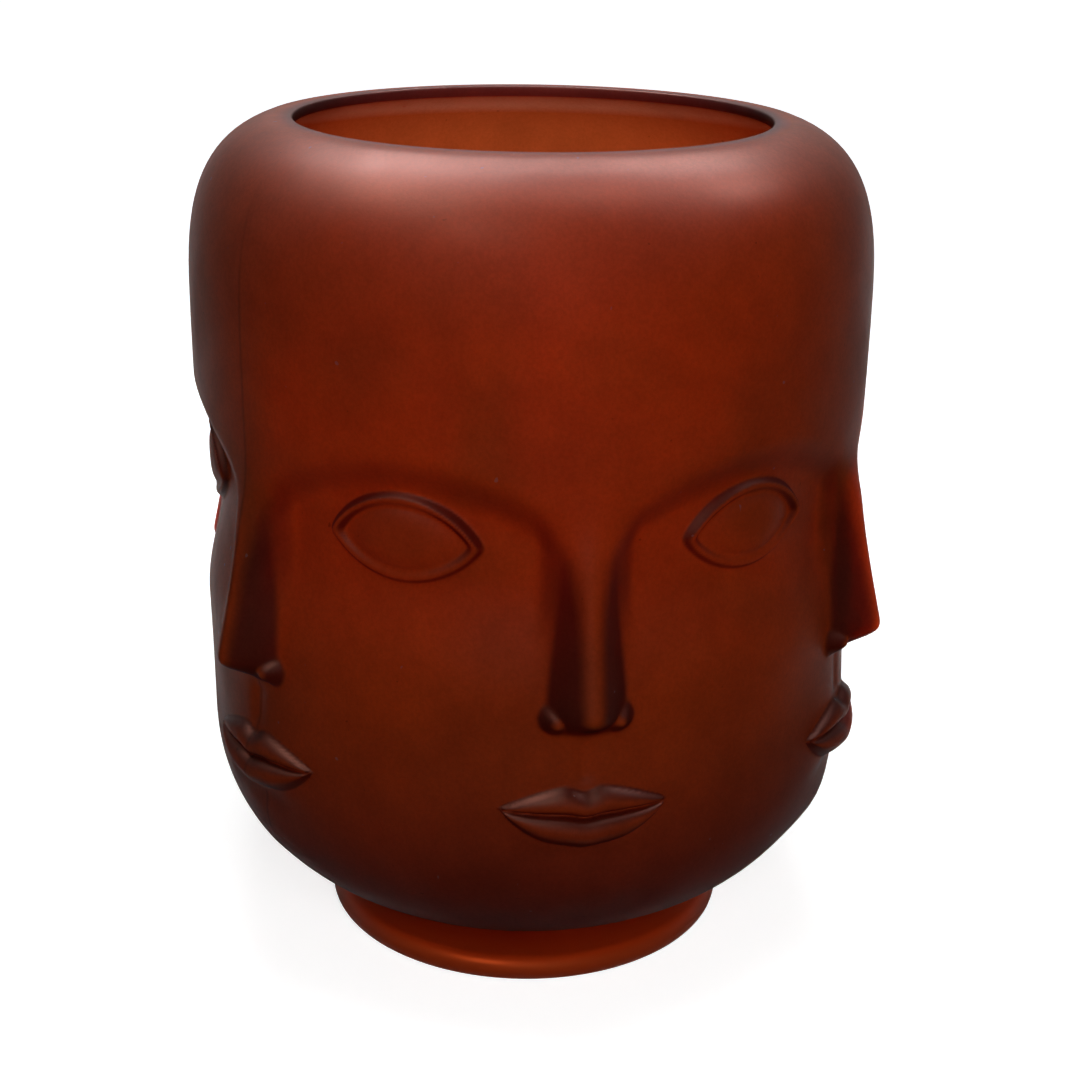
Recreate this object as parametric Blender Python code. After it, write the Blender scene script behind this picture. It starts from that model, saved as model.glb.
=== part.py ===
# Face planter: a moulded glass vessel ringed by six plain faces, standing on a glass foot.
# Metres, +Z up. The origin is on the floor under the centre, and one face looks along -Y.

import math

import bmesh
import bpy
from mathutils.geometry import delaunay_2d_cdt

# Vessel
HEIGHT = 0.250              # floor to the ground rim
BODY_RADIUS = 0.100         # widest, where the shoulder begins
BOWL_TAPER = 0.0022         # how much narrower the wall is where it begins to turn in below
BOWL_TOP = 0.0732           # height of that place
BOWL_SQUARENESS = 2.36      # 2 is an ellipse, more is a squarer corner
SHOULDER_BOTTOM = 0.1945    # height where the shoulder begins to turn in
SHOULDER_INSET = 0.0256     # centre of the shoulder's curve, in from the rim's outer edge
SHOULDER_SQUARENESS = 3.26
OPENING_RADIUS = 0.069
RIM_LAND = 0.0066           # width of the flat ground ring around the opening
RIM_ARRIS = 0.0008          # ground-off inner edge
LIP_DEPTH = 0.0030          # straight bore of the opening
WALL = 0.0060
BASE_THICKNESS = 0.0100
FLOOR_RADIUS = 0.0500       # flat floor inside
INNER_FOLLOW = 0.75         # share of the faces' broad shape that the inside repeats
INNER_NOSE = 0.45           # the same for the noses alone

# Foot
FOOT_RADIUS = 0.0628
FOOT_EDGE = 0.0080          # thickness at its rounded edge
FOOT_ROUND = 0.0039         # radius of that edge
FOOT_HEIGHT = 0.0132        # floor to the seat under the vessel
NECK_RADIUS = 0.0480        # where the foot's cove reaches the vessel
REST_WIDTH = 0.0150         # flat ring that the planter stands on
HOLLOW_DEPTH = 0.0025       # recess within that ring
SEAT_GAP = 0.0003           # between the foot and the vessel

# Faces, laid out on equal thirds from chin to hairline
FACE_COUNT = 6
CHIN_Z = 0.0320
HAIRLINE_Z = 0.2360
EYE_Z = 0.1510
SOCKET_DEPTH = 0.0060
SOCKET_SOFTNESS = 0.0150    # height of the slope under the brow
SOCKET_SIDE = 0.0108        # width of the slope beside the nose
CHEEK_FADE = 0.0340         # height over which the socket runs out on the cheek
BROW_LIFT = 0.0020          # middle of the brow over the upper third's line
BROW_DROP = 0.0200          # how far the brow falls on its way to the nose
EYE_WIDTH = 0.0440
UPPER_LID_RISE = 0.0120
LOWER_LID_DROP = 0.0098
LID_WIDTH = 0.0046
UPPER_LID_HEIGHT = 0.0026
LOWER_LID_HEIGHT = 0.0018
LID_BLEND = 0.0090          # over which the upper lid's height passes into the lower's
EYEBALL_BULGE = 0.0030
NOSE_TIP_HEIGHT = 0.0142    # tip over the wall, before it is rounded
NOSE_ROOT_HEIGHT = 0.0022
NOSE_BRIDGE_WIDTH = 0.0180
NOSE_TIP_WIDTH = 0.0252
NOSE_HOLLOW = 1.3           # 1 is a straight bridge, more dips it
TIP_RISE = 0.0090           # tip over the base of the nose
TIP_DROOP = 0.0018          # underside of the tip below that base
TIP_SOFTNESS = 0.0042       # more is a rounder tip
UNDERSIDE_RISE = 0.0128     # height over which the underside of the nose comes forward
UNDERSIDE_FULLNESS = 1.25
ROOT_DROP = 0.0080          # root under the upper third's line
ROOT_FADE = 0.0280
BRIDGE_LENGTH = 0.0200      # even width from the root down, before the nose widens
WING_HEIGHT = 0.0058
WING_SIZE = 0.0118
WING_RISE = 0.0053          # middle of the wings over the base of the nose
WING_SPREAD = 0.0168        # between the middles of the two wings
MOUTH_WIDTH = 0.0480
UPPER_LIP = 0.0088
LOWER_LIP = 0.0102
UPPER_LIP_HEIGHT = 0.0036
LOWER_LIP_HEIGHT = 0.0046
BOW_DIP = 0.0016            # notch in the middle of the upper lip
BOW_WIDTH = 0.0036
CORNER_LIFT = 0.0010        # corners of the mouth over its middle
LIP_FULLNESS = 0.8          # 1 is a plain round swell, less is fuller
UPPER_LIP_CURVE = 1.7       # how late the lip's edge falls to the corner
LOWER_LIP_CURVE = 2.6
LOWER_LIP_ROUNDING = 0.9
LOWER_LIP_SHARE = 0.96      # of the mouth's width
LEAST_LIP = 0.000001
MUZZLE_HEIGHT = 0.0020      # soft mound that carries the lips
MUZZLE_REACH = 0.0176
CHIN_HEIGHT = 0.0014
CHIN_WIDTH = 0.0300
CHIN_RISE = 0.0170          # middle of the chin's mound over its lower end
LIP_HOLLOW = 0.0013         # between the lower lip and the chin
LIP_HOLLOW_WIDTH = 0.0280
LIP_HOLLOW_REACH = 0.0040
PHILTRUM_DEPTH = 0.0010
PHILTRUM_WIDTH = 0.0056
PHILTRUM_FADE = 0.0040      # length over which each of its ends runs out
FACE_MARGIN = 0.0020        # plain wall between the chin and the end of the relief
CHIN_FADE = 0.0080
FOREHEAD_FADE = 0.0040

# Facets
SPANS = 5                   # plain columns in half a face
PLAIN_STEP = 0.0095         # spacing of the net where nothing happens
LEAST_STEP = 0.0030
POINT_GAP = 0.0006          # between a feature's points and their neighbours
ARC_STEPS = 7
EDGE_STEPS = 3              # in each quarter of the foot's rounded edge
COVE_STEPS = 5
LIP_LINES = (1, 0.42, 0.08)     # shares of the way from the mouth line to a lip's edge
NOSE_LINES = (0, 0.33, 0.66)    # shares of the nose's half width
WING_LINES = (0.4, 1)           # shares of a wing's radius
EYEBALL_LINE = -1.2 * LID_WIDTH

# Glass
BODY_COLOUR = (0.266, 0.032, 0.0075, 1)
FOOT_COLOUR = (0.230, 0.022, 0.0055, 1)

RIM_OUTER = OPENING_RADIUS + RIM_LAND
BOWL_RADIUS = BODY_RADIUS - BOWL_TAPER
SEAT_Z = FOOT_HEIGHT + SEAT_GAP
FLOOR_Z = SEAT_Z + BASE_THICKNESS
HALF_FACE = math.pi * BODY_RADIUS / FACE_COUNT    # along the wall, nose line to eye's middle
COLUMNS = 2 * FACE_COUNT * SPANS
FACE_THIRD = (HAIRLINE_Z - CHIN_Z) / 3
BROW_Z = HAIRLINE_Z - FACE_THIRD
NOSE_BASE_Z = BROW_Z - FACE_THIRD
MOUTH_Z = NOSE_BASE_Z - FACE_THIRD / 3
TIP_Z = NOSE_BASE_Z + TIP_RISE
ROOT_Z = BROW_Z - ROOT_DROP
NET_BOTTOM = CHIN_Z + FACE_MARGIN
NET_TOP = BROW_Z + SOCKET_SOFTNESS


def clamp(value):
    return min(max(value, 0.0), 1.0)


def ease(t):
    t = clamp(t)
    return t * t * (3 - 2 * t)


def hump(t):
    # a smooth bump, 1 in the middle and flat at -1 and 1
    return max(1 - t * t, 0.0) ** 2


def bell(t):
    return math.exp(-t * t)


def larger(a, b, softness):
    # the larger of two, rounded where they meet
    return (a + b + math.hypot(a - b, softness)) / 2


# Profile of the vessel

def corner_reach(wall_r, centre_r, drop, end_r, squareness):
    # full reach of a rounded corner that has turned in to end_r after drop
    share = (end_r - centre_r) / (wall_r - centre_r)
    return drop / (1 - share ** squareness) ** (1 / squareness)


def corner_radius(drop, wall_r, centre_r, reach, squareness):
    share = clamp(drop / reach)
    return centre_r + (wall_r - centre_r) * (1 - share ** squareness) ** (1 / squareness)


def corner_drops(start, end, reach, squareness, steps):
    # places down a rounded corner, closer where it bends more
    def angle(drop):
        return math.asin(clamp(drop / reach) ** (squareness / 2))

    first, last = angle(start), angle(end)
    turns = [first + (last - first) * i / steps for i in range(1, steps + 1)]
    return [reach * math.sin(a) ** (2 / squareness) for a in turns]


SHOULDER_CENTRE = RIM_OUTER - SHOULDER_INSET
SHOULDER_RISE = HEIGHT - SHOULDER_BOTTOM
SHOULDER = (BODY_RADIUS, SHOULDER_CENTRE, corner_reach(
    BODY_RADIUS, SHOULDER_CENTRE, SHOULDER_RISE, RIM_OUTER, SHOULDER_SQUARENESS), SHOULDER_SQUARENESS)
INNER_RISE = SHOULDER_RISE - LIP_DEPTH
INNER_SHOULDER = (BODY_RADIUS - WALL, SHOULDER_CENTRE, corner_reach(
    BODY_RADIUS - WALL, SHOULDER_CENTRE, INNER_RISE, OPENING_RADIUS, SHOULDER_SQUARENESS),
    SHOULDER_SQUARENESS)
BOWL_DROP = BOWL_TOP - SEAT_Z
BOWL = (BOWL_RADIUS, 0.0, corner_reach(
    BOWL_RADIUS, 0.0, BOWL_DROP, NECK_RADIUS, BOWL_SQUARENESS), BOWL_SQUARENESS)
INNER_DROP = BOWL_TOP - FLOOR_Z
INNER_BOWL = (BOWL_RADIUS - WALL, 0.0, corner_reach(
    BOWL_RADIUS - WALL, 0.0, INNER_DROP, FLOOR_RADIUS, BOWL_SQUARENESS), BOWL_SQUARENESS)


def wall_radius(z, bowl, shoulder):
    if z > SHOULDER_BOTTOM:
        return corner_radius(z - SHOULDER_BOTTOM, *shoulder)
    if z < BOWL_TOP:
        return corner_radius(BOWL_TOP - z, *bowl)
    return bowl[0] + (shoulder[0] - bowl[0]) * ease((z - BOWL_TOP) / (SHOULDER_BOTTOM - BOWL_TOP))


# Relief of one face: u runs along the wall from the nose line, z is the height

def brow_line(u):
    away = (HALF_FACE - abs(u)) / HALF_FACE
    return BROW_Z + BROW_LIFT - BROW_DROP * away ** 2


def socket(u, z):
    under_brow = ease((brow_line(u) + SOCKET_SOFTNESS / 2 - z) / SOCKET_SOFTNESS)
    over_cheek = ease((z - TIP_Z) / CHEEK_FADE)
    beside_nose = ease((abs(u) - NOSE_BRIDGE_WIDTH / 4) / SOCKET_SIDE)
    return -SOCKET_DEPTH * under_brow * over_cheek * beside_nose


def nose_half_width(z):
    widens = ROOT_Z - BRIDGE_LENGTH
    widening = ease((widens - z) / (widens - TIP_Z))
    return (NOSE_BRIDGE_WIDTH + (NOSE_TIP_WIDTH - NOSE_BRIDGE_WIDTH) * widening) / 2


def nose_ridge(z):
    # the bridge and the underside meet in a rounded tip
    down = max((ROOT_Z - z) / (ROOT_Z - TIP_Z), 0)
    bridge = NOSE_ROOT_HEIGHT + (NOSE_TIP_HEIGHT - NOSE_ROOT_HEIGHT) * down ** NOSE_HOLLOW
    bridge *= ease((ROOT_Z + ROOT_FADE / 2 - z) / ROOT_FADE)
    under = UNDERSIDE_FULLNESS * NOSE_TIP_HEIGHT * ease((z - NOSE_BASE_Z + TIP_DROOP) / UNDERSIDE_RISE)
    return max(bridge + under - larger(bridge, under, TIP_SOFTNESS), 0)


def nose(u, z):
    body = nose_ridge(z) * hump(u / nose_half_width(z))
    aside = (abs(u) - WING_SPREAD / 2) / (WING_SIZE / 2)
    below = (z - NOSE_BASE_Z - WING_RISE) / (WING_SIZE / 2)
    wing = WING_HEIGHT * hump(math.hypot(aside, below))
    blend = WING_HEIGHT / 6
    return larger(body, wing, blend) - blend / 2


def lid_arcs():
    # radii of the two arcs that bound the eye, and how far their centres lie from its line
    half = EYE_WIDTH / 2
    upper = (half ** 2 + UPPER_LID_RISE ** 2) / (2 * UPPER_LID_RISE)
    lower = (half ** 2 + LOWER_LID_DROP ** 2) / (2 * LOWER_LID_DROP)
    return upper, lower, upper - UPPER_LID_RISE, lower - LOWER_LID_DROP


def eye(u, z):
    upper, lower, below, above = lid_arcs()
    x, y = HALF_FACE - abs(u), z - EYE_Z
    past_upper = math.hypot(x, y + below) - upper
    past_lower = math.hypot(x, y - above) - lower
    edge = larger(past_upper, past_lower, LID_WIDTH / 4)
    top_share = ease((past_upper - past_lower) / LID_BLEND + 0.5)
    lid = LOWER_LID_HEIGHT + (UPPER_LID_HEIGHT - LOWER_LID_HEIGHT) * top_share
    groove = LID_WIDTH / 8
    within = max(-past_upper - groove, 0) * max(-past_lower - groove, 0)
    inside = clamp(within / (UPPER_LID_RISE * LOWER_LID_DROP))
    return lid * hump(2 * edge / LID_WIDTH) + EYEBALL_BULGE * (1 - (1 - inside) ** 2)


def mouth_line(u):
    return MOUTH_Z + CORNER_LIFT * (2 * u / MOUTH_WIDTH) ** 2 - BOW_DIP / 2 * bell(u / BOW_WIDTH)


def upper_lip(u):
    share = clamp(2 * abs(u) / MOUTH_WIDTH)
    return max(UPPER_LIP * (1 - share ** UPPER_LIP_CURVE) - BOW_DIP * bell(u / BOW_WIDTH), 0) + LEAST_LIP


def lower_lip(u):
    share = clamp(2 * abs(u) / (LOWER_LIP_SHARE * MOUTH_WIDTH))
    return LOWER_LIP * (1 - share ** LOWER_LIP_CURVE) ** LOWER_LIP_ROUNDING + LEAST_LIP


def fullness(t):
    # swell of a lip from the mouth line, t = 0, to its edge, t = 1
    return math.sin(math.pi * t ** LIP_FULLNESS) ** LIP_FULLNESS if 0 < t < 1 else 0.0


def mouth(u, z):
    to_corner = max(1 - (2 * u / MOUTH_WIDTH) ** 2, 0) ** 0.5
    over = z - mouth_line(u)
    lips = UPPER_LIP_HEIGHT * fullness(over / upper_lip(u))
    lips += LOWER_LIP_HEIGHT * fullness(-over / lower_lip(u))
    mound = bell(2 * u / MOUTH_WIDTH) * bell((z - MOUTH_Z) / MUZZLE_REACH)
    return lips * to_corner + MUZZLE_HEIGHT * mound


def chin(u, z):
    mound = bell(2 * u / CHIN_WIDTH) * bell(2 * (z - CHIN_Z - CHIN_RISE) / CHIN_RISE)
    under_lip = z - MOUTH_Z + LOWER_LIP + LIP_HOLLOW_REACH
    hollow = bell(2 * u / LIP_HOLLOW_WIDTH) * bell(under_lip / LIP_HOLLOW_REACH)
    return CHIN_HEIGHT * mound - LIP_HOLLOW * hollow


def philtrum(u, z):
    over_lip = ease((z - MOUTH_Z - UPPER_LIP + BOW_DIP) / PHILTRUM_FADE)
    under_nose = ease((NOSE_BASE_Z - z) / PHILTRUM_FADE)
    return -PHILTRUM_DEPTH * bell(2 * u / PHILTRUM_WIDTH) * over_lip * under_nose


def relief(u, z):
    whole = socket(u, z) + nose(u, z) + eye(u, z) + mouth(u, z) + chin(u, z) + philtrum(u, z)
    return whole * ease((z - NET_BOTTOM) / CHIN_FADE) * ease((NET_TOP - z) / FOREHEAD_FADE)


def inner_relief(u, z):
    broad = INNER_FOLLOW * socket(u, z) + INNER_NOSE * nose(u, z)
    return broad * ease((z - BOWL_TOP) / CHEEK_FADE)


# Net of half a face, on lines that follow its features

def even(start, end, steps):
    return [start + (end - start) * i / steps for i in range(steps + 1)]


def eye_line(offset, steps):
    # the lid's edge moved out by offset, from above the eye's middle round its corner to below
    upper, lower, below, above = lid_arcs()
    upper, lower = upper + offset, lower + offset
    y = (upper ** 2 - lower ** 2 + above ** 2 - below ** 2) / (2 * (above + below))
    x = math.sqrt(upper ** 2 - (y + below) ** 2)
    over = [(upper * math.sin(a), upper * math.cos(a) - below)
            for a in even(0, math.atan2(x, y + below), steps)]
    under = [(lower * math.sin(a), above - lower * math.cos(a))
             for a in even(math.atan2(x, above - y), 0, steps)]
    return [(HALF_FACE - x, EYE_Z + y) for x, y in over + under[1:]]


def feature_lines():
    lines = [eye_line(offset, 7) for offset in (LID_WIDTH / 2, 0, -LID_WIDTH / 2)]
    lines.append(eye_line(EYEBALL_LINE, 5))
    across = [MOUTH_WIDTH / 2 * math.sin(a) for a in even(0, math.pi / 2, 7)]
    for share in LIP_LINES:
        lines.append([(u, mouth_line(u) + share * upper_lip(u)) for u in across[:-1]])
        lines.append([(u, mouth_line(u) - share * lower_lip(u)) for u in across[:-1]])
    lines.append([(u, mouth_line(u)) for u in across])
    heights = even(TIP_Z, ROOT_Z + ROOT_FADE / 2, 7)
    for share in (*NOSE_LINES, 1):
        lines.append([(share * nose_half_width(z), z) for z in heights])
    under_tip = even(NOSE_BASE_Z - TIP_DROOP, TIP_Z, 4)
    for share in NOSE_LINES:
        lines.append([(share * NOSE_TIP_WIDTH / 2, z) for z in under_tip])
    for share in WING_LINES:
        size = share * WING_SIZE / 2
        middle = NOSE_BASE_Z + WING_RISE
        lines.append([(WING_SPREAD / 2 + size * math.sin(a), middle + size * math.cos(a))
                      for a in even(0, math.pi, 5)])
    browed = even(NOSE_BRIDGE_WIDTH / 4 + SOCKET_SIDE, HALF_FACE, 5)
    for side in (-0.5, 0, 0.5):
        lines.append([(u, brow_line(u) + side * SOCKET_SOFTNESS) for u in browed])
    return lines


def half_face_net():
    # places and triangles on the unrolled wall between a nose line and the middle of an eye
    places, links = [], []

    def far_enough(u, z):
        return all(math.hypot(u - p[0], z - p[1]) >= POINT_GAP for p in places)

    for line in feature_lines():
        before = None
        for u, z in line:
            if not (0 <= u <= HALF_FACE + 1e-9 and NET_BOTTOM < z < NET_TOP):
                before = None
                continue
            if far_enough(u, z):
                places.append((min(u, HALF_FACE), z))
                here = len(places) - 1
            else:
                here = min(range(len(places)), key=lambda i: math.dist(places[i], (u, z)))
            if before is not None and before != here:
                links.append((before, here))
            before = here
    followed = list(places)
    rows = round((NET_TOP - NET_BOTTOM) / PLAIN_STEP)
    for row, z in enumerate(even(NET_BOTTOM, NET_TOP, rows)):
        for u in even(0, HALF_FACE, SPANS):
            on_edge = row in (0, rows)
            if on_edge or all(math.dist((u, z), p) > LEAST_STEP for p in followed):
                places.append((u, z))
    net = delaunay_2d_cdt(places, links, [], 0, 1e-7)
    return [tuple(p) for p in net[0]], [tuple(f) for f in net[2]]


# Meshes

def wall_point(angle, radius, z):
    # angle 0 looks along -Y, turning towards +X
    return radius * math.sin(angle), -radius * math.cos(angle), z


def add_faces(bm):
    places, triangles = half_face_net()
    for face in range(FACE_COUNT):
        middle = 2 * math.pi * face / FACE_COUNT
        for side in (1, -1):
            corners = []
            for u, z in places:
                radius = wall_radius(z, BOWL, SHOULDER) + relief(u, z)
                corners.append(bm.verts.new(wall_point(middle + side * u / BODY_RADIUS, radius, z)))
            for triangle in triangles:
                bm.faces.new([corners[i] for i in triangle])


def add_ring(bm, z, radius_at):
    ring = []
    for column in range(COLUMNS):
        place = column % (2 * SPANS)
        u = HALF_FACE * min(place, 2 * SPANS - place) / SPANS
        angle = 2 * math.pi * column / COLUMNS
        ring.append(bm.verts.new(wall_point(angle, radius_at(u), z)))
    return ring


def join_rings(bm, rings):
    for lower, upper in zip(rings, rings[1:]):
        for i in range(len(lower)):
            j = (i + 1) % len(lower)
            bm.faces.new((lower[i], lower[j], upper[j], upper[i]))


def add_turned(bm, outline):
    # rings for a plain turned outline of (radius, height)
    rings = [add_ring(bm, z, lambda u, r=r: r) for r, z in outline]
    join_rings(bm, rings)
    return rings


def finish(bm, name, colour, roughness):
    bmesh.ops.remove_doubles(bm, verts=bm.verts, dist=1e-6)
    bmesh.ops.recalc_face_normals(bm, faces=bm.faces)
    mesh = bpy.data.meshes.new(name)
    bm.to_mesh(mesh)
    bm.free()
    mesh.shade_smooth()
    mesh.set_sharp_from_angle(angle=math.radians(40))
    part = bpy.data.objects.new(name, mesh)
    bpy.context.collection.objects.link(part)
    glass = bpy.data.materials.new(name)
    glass.use_nodes = True
    shader = glass.node_tree.nodes["Principled BSDF"]
    shader.inputs["Base Color"].default_value = colour
    shader.inputs["Roughness"].default_value = roughness
    shader.inputs["Metallic"].default_value = 0
    mesh.materials.append(glass)
    return part


def shoulder_outline():
    start = max(NET_TOP - SHOULDER_BOTTOM, 0)
    drops = corner_drops(start, SHOULDER_RISE, SHOULDER[2], SHOULDER_SQUARENESS, ARC_STEPS)
    outline = [(wall_radius(NET_TOP, BOWL, SHOULDER), NET_TOP)]
    if NET_TOP < SHOULDER_BOTTOM:
        outline.append((BODY_RADIUS, SHOULDER_BOTTOM))
    outline += [(corner_radius(d, *SHOULDER), SHOULDER_BOTTOM + d) for d in drops[:-1]]
    return outline + [(RIM_OUTER, HEIGHT)]


def bowl_outline():
    drops = corner_drops(BOWL_TOP - NET_BOTTOM, BOWL_DROP, BOWL[2], BOWL_SQUARENESS, ARC_STEPS - 2)
    outline = [(wall_radius(NET_BOTTOM, BOWL, SHOULDER), NET_BOTTOM)]
    outline += [(corner_radius(d, *BOWL), BOWL_TOP - d) for d in drops[:-1]]
    return outline + [(NECK_RADIUS, SEAT_Z)]


def inner_heights():
    lower = corner_drops(0, INNER_DROP, INNER_BOWL[2], BOWL_SQUARENESS, ARC_STEPS)
    upper = corner_drops(0, INNER_RISE, INNER_SHOULDER[2], SHOULDER_SQUARENESS, ARC_STEPS)
    heights = [FLOOR_Z] + [BOWL_TOP - d for d in lower[-2::-1]]
    heights += even(BOWL_TOP, SHOULDER_BOTTOM, 9)
    return heights + [SHOULDER_BOTTOM + d for d in upper[:-1]] + [HEIGHT - LIP_DEPTH]


def make_vessel():
    bm = bmesh.new()
    add_faces(bm)
    add_turned(bm, shoulder_outline())
    bowl = add_turned(bm, bowl_outline())
    bm.faces.new(bowl[-1])
    inside = []
    for z in inner_heights():
        base = wall_radius(z, INNER_BOWL, INNER_SHOULDER)
        inside.append(add_ring(bm, z, lambda u, b=base, h=z: b + inner_relief(u, h)))
    join_rings(bm, inside)
    bm.faces.new(inside[0])
    add_turned(bm, [(OPENING_RADIUS, HEIGHT - LIP_DEPTH), (OPENING_RADIUS, HEIGHT - RIM_ARRIS),
                    (OPENING_RADIUS + RIM_ARRIS, HEIGHT), (RIM_OUTER, HEIGHT)])
    return finish(bm, "glass_vessel", BODY_COLOUR, 0.45)


def foot_outline():
    # from the middle of the underside out, round the edge and up the cove to the neck
    rest = FOOT_RADIUS - FOOT_ROUND
    hollow = rest - REST_WIDTH
    outline = [(hollow - HOLLOW_DEPTH, HOLLOW_DEPTH), (hollow, 0)]
    for a in even(0, math.pi / 2, EDGE_STEPS):
        outline.append((rest + FOOT_ROUND * math.sin(a), FOOT_ROUND * (1 - math.cos(a))))
    top = FOOT_EDGE - FOOT_ROUND
    for a in even(0, math.pi / 2, EDGE_STEPS):
        outline.append((rest + FOOT_ROUND * math.cos(a), top + FOOT_ROUND * math.sin(a)))
    reach, rise = rest - NECK_RADIUS, FOOT_HEIGHT - FOOT_EDGE
    for a in even(0, math.pi / 2, COVE_STEPS)[1:]:
        outline.append((rest - reach * math.sin(a), FOOT_EDGE + rise * (1 - math.cos(a))))
    return outline


def make_foot():
    bm = bmesh.new()
    rings = add_turned(bm, foot_outline())
    bm.faces.new(rings[0])
    bm.faces.new(rings[-1])
    return finish(bm, "glass_foot", FOOT_COLOUR, 0.3)


for old in list(bpy.data.objects):
    bpy.data.objects.remove(old, do_unlink=True)

make_vessel()
make_foot()
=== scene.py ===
import math

import bpy
import bmesh
import numpy as np
from mathutils import Matrix, Vector


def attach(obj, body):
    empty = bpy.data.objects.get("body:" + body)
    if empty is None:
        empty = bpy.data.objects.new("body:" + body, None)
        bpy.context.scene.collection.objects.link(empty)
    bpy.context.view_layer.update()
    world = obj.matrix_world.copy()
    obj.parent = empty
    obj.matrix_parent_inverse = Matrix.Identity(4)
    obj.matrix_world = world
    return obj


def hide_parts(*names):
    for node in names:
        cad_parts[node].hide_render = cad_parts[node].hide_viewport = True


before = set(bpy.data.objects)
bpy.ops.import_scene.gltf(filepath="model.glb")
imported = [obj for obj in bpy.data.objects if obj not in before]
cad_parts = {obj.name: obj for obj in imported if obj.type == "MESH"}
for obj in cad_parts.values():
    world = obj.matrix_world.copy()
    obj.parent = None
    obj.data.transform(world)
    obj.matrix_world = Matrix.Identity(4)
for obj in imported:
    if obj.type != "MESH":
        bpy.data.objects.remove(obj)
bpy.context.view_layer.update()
print("frame loaded")

scene = bpy.context.scene
scene.view_settings.view_transform = "Standard"


# the photograph's viewpoint
camera = {
    "distance": 0.5602,
    "height": 0.3245,
    "around": -9.4,      # degrees from the front face
    "heading": -0.374,   # small turn off the planter's axis
    "tilt": 20.07,       # downwards
    "roll": 0.842,
    "lens": 63.88,
    "sensor": 36.0,
    "nearest": 0.01,
}


def makeCamera(c):
    data = bpy.data.cameras.new("camera")
    data.lens = c["lens"]
    data.sensor_width = c["sensor"]
    data.clip_start = c["nearest"]
    view = bpy.data.objects.new("camera", data)
    scene.collection.objects.link(view)
    around = Matrix.Rotation(math.radians(c["around"]), 4, "Z")
    place = Matrix.Translation((0, -c["distance"], c["height"]))
    turn = (Matrix.Rotation(math.radians(c["heading"]), 4, "Z")
            @ Matrix.Rotation(math.radians(90 - c["tilt"]), 4, "X")
            @ Matrix.Rotation(math.radians(c["roll"]), 4, "Z"))
    view.matrix_world = around @ place @ turn
    scene.camera = view


makeCamera(camera)
print("camera placed")


# sizes of the vessel, in metres
vessel = {
    "height": 0.250,
    "bodyRadius": 0.100,
    "bowlTaper": 0.0022,
    "bowlTop": 0.0732,
    "bowlSquareness": 2.36,
    "shoulderBottom": 0.1945,
    "shoulderInset": 0.0256,
    "shoulderSquareness": 3.26,
    "openingRadius": 0.069,
    "rimLand": 0.0066,
    "rimSoftness": 0.0005,
    "landSoftness": 0.0026,
    "landBend": 1.25,        # slope where the roll-over starts, as a share of the mean from there
    "groundWidth": 0.0030,   # of the ground land, up to the middle of its fade
    "landFade": 0.0040,
    "lipDepth": 0.0030,
    "wall": 0.0060,
    "baseThickness": 0.0100,
    "floorRadius": 0.0500,
    "neckRadius": 0.0480,
    "seatHeight": 0.0135,
    "innerFollow": 0.75,
    "innerNose": 0.45,
    "columns": 228,
    "row": 0.0027,
    "slopeStep": 0.0007,
    "outerSteps": {"bowl": 10, "shoulder": 20, "land": 6},
    "innerSteps": {"rim": 3, "shoulder": 14, "wall": 26, "bowl": 14},
    "floorRings": (0.96, 0.7, 0.4, 0.12),
}

# the six faces, on equal thirds from chin to hairline
face = {
    "count": 6,
    "chin": 0.0320,
    "hairline": 0.2360,
    "eyeHeight": 0.1510,
    "socketDepth": 0.0060,
    "socketSoftness": 0.0150,
    "socketSide": 0.0108,
    "cheekFade": 0.0340,
    "browLift": 0.0020,
    "browDrop": 0.0200,
    "eyeWidth": 0.0440,
    "upperLidRise": 0.0120,
    "lowerLidDrop": 0.0098,
    "lidWidth": 0.0046,
    "upperLidHeight": 0.0026,
    "lowerLidHeight": 0.0018,
    "lidBlend": 0.0090,
    "eyeballBulge": 0.0030,
    "tipHeight": 0.0142,
    "rootHeight": 0.0022,
    "bridgeWidth": 0.0180,
    "tipWidth": 0.0252,
    "bridgeHollow": 1.3,
    "tipRise": 0.0090,
    "tipDroop": 0.0018,
    "tipSoftness": 0.0042,
    "undersideRise": 0.0128,
    "undersideFullness": 1.25,
    "rootDrop": 0.0080,
    "rootFade": 0.0280,
    "bridgeLength": 0.0200,
    "wingHeight": 0.0058,
    "wingSize": 0.0118,
    "wingRise": 0.0053,
    "wingSpread": 0.0168,
    "mouthWidth": 0.0480,
    "upperLip": 0.0088,
    "lowerLip": 0.0102,
    "upperLipHeight": 0.0036,
    "lowerLipHeight": 0.0046,
    "bowDip": 0.0016,
    "bowWidth": 0.0036,
    "cornerLift": 0.0010,
    "upperLipCurve": 1.7,
    "lowerLipCurve": 2.6,
    "lowerLipFullness": 0.9,
    "lowerLipEnd": 0.96,     # share of the mouth's width
    "lipFullness": 0.8,
    "muzzleHeight": 0.0020,
    "muzzleReach": 0.0176,
    "chinHeight": 0.0014,
    "chinWidth": 0.0300,
    "chinRise": 0.0170,
    "lipHollow": 0.0013,
    "lipHollowWidth": 0.0280,
    "lipHollowReach": 0.0040,
    "philtrumDepth": 0.0010,
    "philtrumWidth": 0.0056,
    "philtrumFade": 0.0040,
    "margin": 0.0020,
    "chinFade": 0.0080,
    "foreheadFade": 0.0040,
}

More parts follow.
